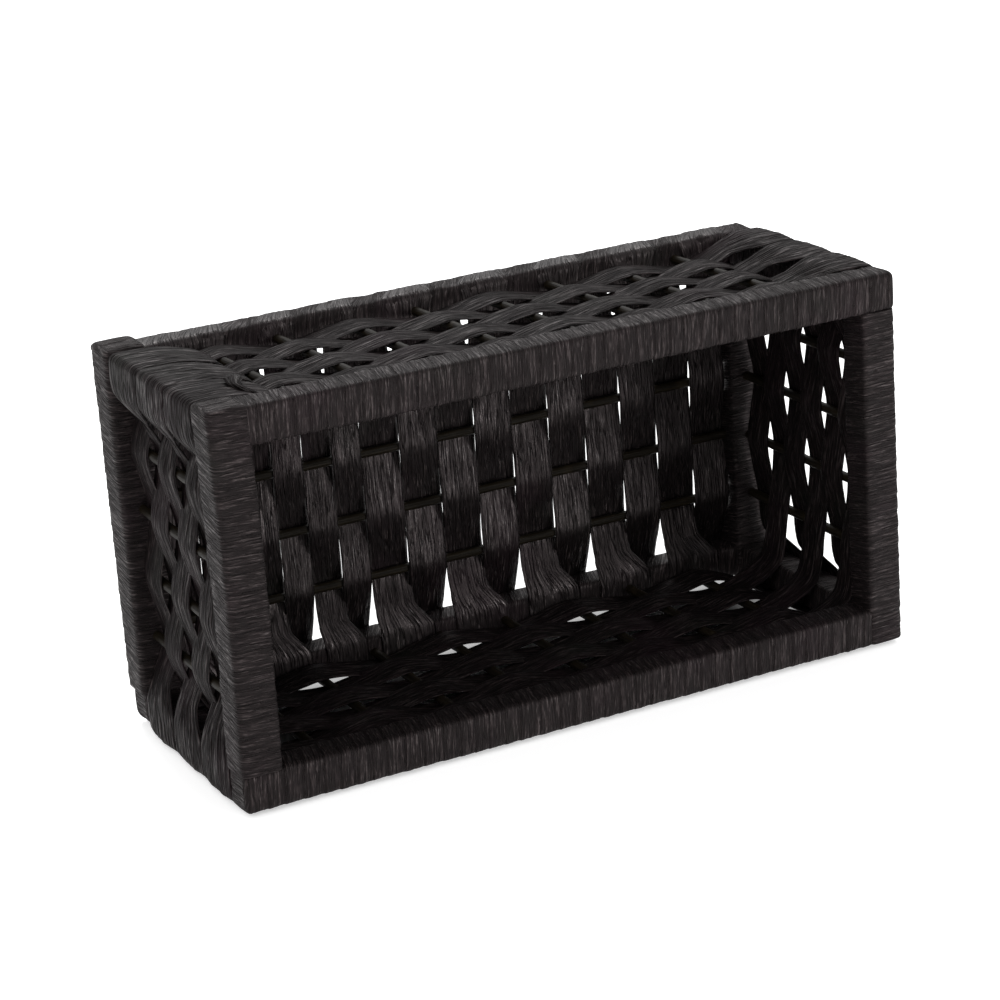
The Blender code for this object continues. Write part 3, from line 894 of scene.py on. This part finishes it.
def baseGuide(values):
    railLow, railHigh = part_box("base_top_wrap")
    bottomLow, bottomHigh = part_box("base_bottom_wrap")
    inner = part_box("base_right_wrap")[0].x
    core = (railHigh.y - railLow.y) / 2
    middle = (railHigh.y + railLow.y) / 2
    hug = core + values["railLift"]
    rails = {1: (railLow.z + railHigh.z) / 2, -1: (bottomLow.z + bottomHigh.z) / 2}
    columns = baseColumns(values, inner - values["sideSpace"])
    stakes = [sum(corner.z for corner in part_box(f"base_stake_{number}")) / 2 for number in range(1, 5)]
    points = []

    def put(column, y, z, lean, bow, wider=1.0, shift=0.0):
        x, halfWidth = columns[column]
        way = 1 if y > 0 else -1
        points.append((Vector((x + way * lean + shift, middle + y, z)), halfWidth * wider, bow))

    def putTurn(column, following, end):
        rail = rails[end]
        lean = values["topLean"] if end > 0 else values["bottomLean"]
        outer = rail + end * hug
        wider = values["railSpread"] if end > 0 else values["flare"]
        shift = values["flareShift"] if end < 0 else 0.0
        if end < 0:
            forward, wide, moved = values["flareStart"]
            put(column, -hug * forward, rail + core + values["flareFrom"], lean, 0, wide, shift * moved)
        put(column, -hug, rail - end * core, lean, 0, wider if end < 0 else 1.0, shift)
        put(column, -hug, outer - end * values["fold"], lean, 0, wider, shift)
        put(column, -hug + values["fold"], outer, lean, 0, wider, shift)
        below = following if end < 0 else column  # it moves over under the bottom rail or behind the top one
        put(below, hug - values["fold"], outer, lean, 0)
        put(below, hug, outer - end * values["fold"], lean, 0)
        put(following, hug, rail - end * core, 0, 0)
        behind, past = values["leave"]
        put(following, hug * behind, rail - end * (core + past), 0, 0)

    putTurn(0, 0, 1)
    for column in range(values["columns"]):
        down = column % 2 == 0
        order = stakes[::-1] if down else stakes
        for step, z in enumerate(order):
            front = step % 2 == 0
            lift = -values["lift"] if front else values["lift"]
            put(column, lift, z, values["stakeLean"], 1 if front == down else -1)
        following = min(column + 1, values["columns"] - 1)
        putTurn(column, following, -1 if down else 1)
    return points


baseRibbonSettings = ribbonSettings | {
    "Width Axis": (1.0, 0.0, 0.0), "Nominal Half Width": 0.0078, "Bow": 0.0006,
    "Pleat": 0.0003, "Pleat Width": 0.0032, "Ragged": 0.04, "Open Ends": 1.0, "Step": 0.0013, "Around": 40,
    "Seed": 41.0, "Material": shadedBasePaper,
}
guide = addGuide("base_guide", [baseGuide(baseSettings)], False)
baseWeave = growAlong("base_weave", flatRibbon, guide, baseRibbonSettings)
fit(baseWeave, "base_ribbon", "base_ribbon")
print("base ribbon is woven")


def stakeTree():
    # Round reeds along straight guides, a little uneven in thickness and line
    graph, size = newShapeTree("reed_stakes", {
        "Guide": "Object", "Radius": "Float", "Uneven": "Float", "Swell Scale": "Float", "Seed": "Float",
        "Step": "Float", "Around": "Int", "Material": "Material",
    })
    info = graph.add("GeometryNodeObjectInfo", {"transform_space": "ORIGINAL"}, {"Object": size["Guide"]})
    evenly = {"Curve": info.out("Geometry"), "Length": size["Step"]}
    curve = graph.add("GeometryNodeResampleCurve", {"mode": "LENGTH"}, evenly)
    parameter = graph.add("GeometryNodeSplineParameter")
    settings = {"data_type": "FLOAT", "domain": "POINT"}
    curve = graph.add(
        "GeometryNodeStoreNamedAttribute", settings,
        {"Geometry": curve, "Name": "along", "Value": parameter.out("Length")},
    )
    circle = {"Resolution": size["Around"], "Radius": size["Radius"]}
    ring = graph.add("GeometryNodeCurvePrimitiveCircle", inputs=circle)
    ring = graph.add(
        "GeometryNodeStoreNamedAttribute", settings,
        {"Geometry": ring, "Name": "round", "Value": parameter.out("Length")},
    )
    flatRadius = graph.add("GeometryNodeSetCurveRadius", inputs={"Curve": curve, "Radius": 1.0})
    reeds = graph.add(
        "GeometryNodeCurveToMesh", inputs={"Curve": flatRadius, "Profile Curve": ring, "Fill Caps": True}
    )
    named = {"data_type": "FLOAT"}
    along = graph.add("GeometryNodeInputNamedAttribute", named, {"Name": "along"})
    girth = graph.add("GeometryNodeInputNamedAttribute", named, {"Name": "round"})
    reeds = graph.add(
        "GeometryNodeStoreNamedAttribute", {"data_type": "FLOAT2", "domain": "CORNER"},
        {"Geometry": reeds, "Name": "UVMap", "Value": graph.point(along, girth, 0.0)},
    )
    spot = graph.vector("ADD", graph.add("GeometryNodeInputPosition"), graph.point(size["Seed"], 0.0, 0.0))
    swell = graph.noise(spot, scale=size["Swell Scale"], detail=2.0) - 0.5
    offset = graph.scaled(graph.add("GeometryNodeInputNormal"), swell * 2 * size["Uneven"])
    reeds = graph.add("GeometryNodeSetPosition", inputs={"Geometry": reeds, "Offset": offset})
    return closeShapeTree(graph, reeds, size["Material"])


stakeSettings = {"Radius": 0.00185, "Uneven": 0.00028, "Swell Scale": 160.0, "Step": 0.0016, "Around": 14}
reedTree = stakeTree()
for seed, name in enumerate(("top", "right", "bottom", "left", "base")):
    nodes = sorted(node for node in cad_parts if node.startswith(f"{name}_stake"))
    lines = []
    for node in nodes:
        low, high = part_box(node)
        if name == "base":
            middle = (low + high) / 2
            ends = [Vector((low.x, middle.y, middle.z)), Vector((high.x, middle.y, middle.z))]
        else:
            ends = [stakePoint(node, low.y), stakePoint(node, high.y)]
        lines.append([(end, 1.0, 0.0) for end in ends])
    guide = addGuide(f"{name}_stake_lines", lines, False, "POLY")
    values = stakeSettings | {"Seed": 5.0 + seed, "Material": reed}
    reeds = growAlong(f"{name}_stakes", reedTree, guide, values)
    fit(reeds, "stake", *nodes)
print("stakes are in")


for name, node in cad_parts.items():
    if name.endswith("_batten"):
        node.data.materials.clear()
        node.data.materials.append(battenWood)

addFloor(floorSettings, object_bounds()[0].z)
print("floor is down")
